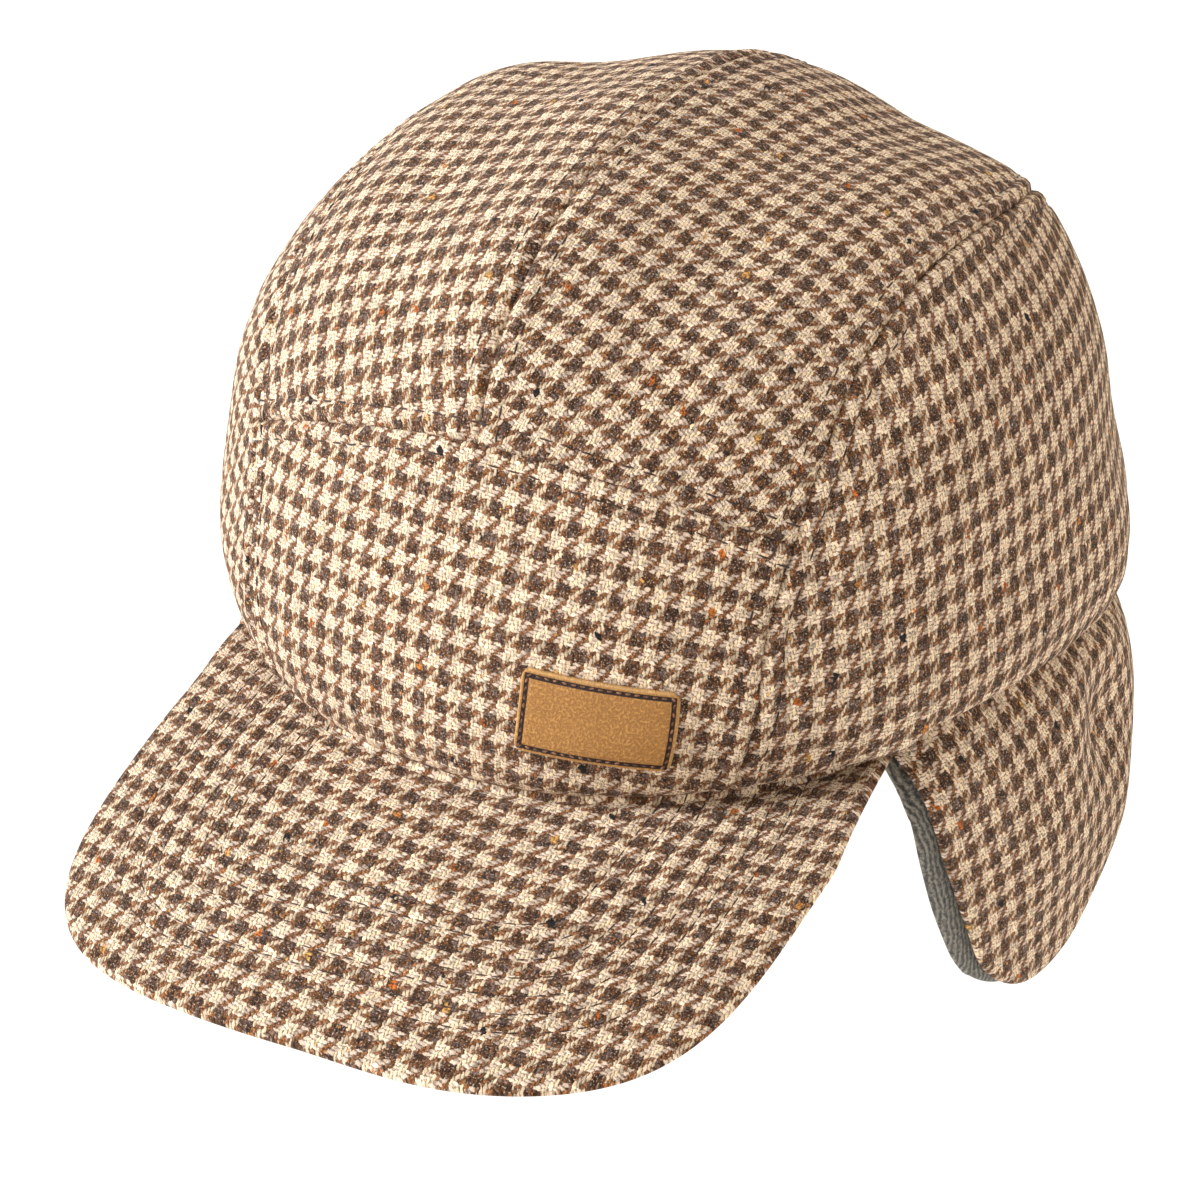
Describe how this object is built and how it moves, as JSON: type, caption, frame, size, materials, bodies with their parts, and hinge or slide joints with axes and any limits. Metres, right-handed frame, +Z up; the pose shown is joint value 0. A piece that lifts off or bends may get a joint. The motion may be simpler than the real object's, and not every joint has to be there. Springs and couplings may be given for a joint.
{
  "type": "earflap cap",
  "caption": "Tweed cap with a curved brim, a leather patch on the front and a wool-lined ear and neck flap hanging below the rim.",
  "frame": {"origin": "centre of the head opening, at the height of the crown's rim at the sides", "axes": "+Z up, -Y towards the brim, +X towards the wearer's left"},
  "size_m": [0.1912, 0.2527, 0.1716],
  "materials": {
    "tweed": "woven wool, matte, slightly hairy",
    "wool_lining": "ribbed padded wool, matte",
    "leather": "satin, smooth grain"
  },
  "bodies": {
    "root": {"front_panel": "tweed", "crown_left": "tweed", "crown_right": "tweed", "side_left": "tweed", "side_right": "tweed", "brim": "tweed", "earflap": "tweed", "earflap_lining": "wool_lining", "leather_patch": "leather"}
  },
  "joints": []
}
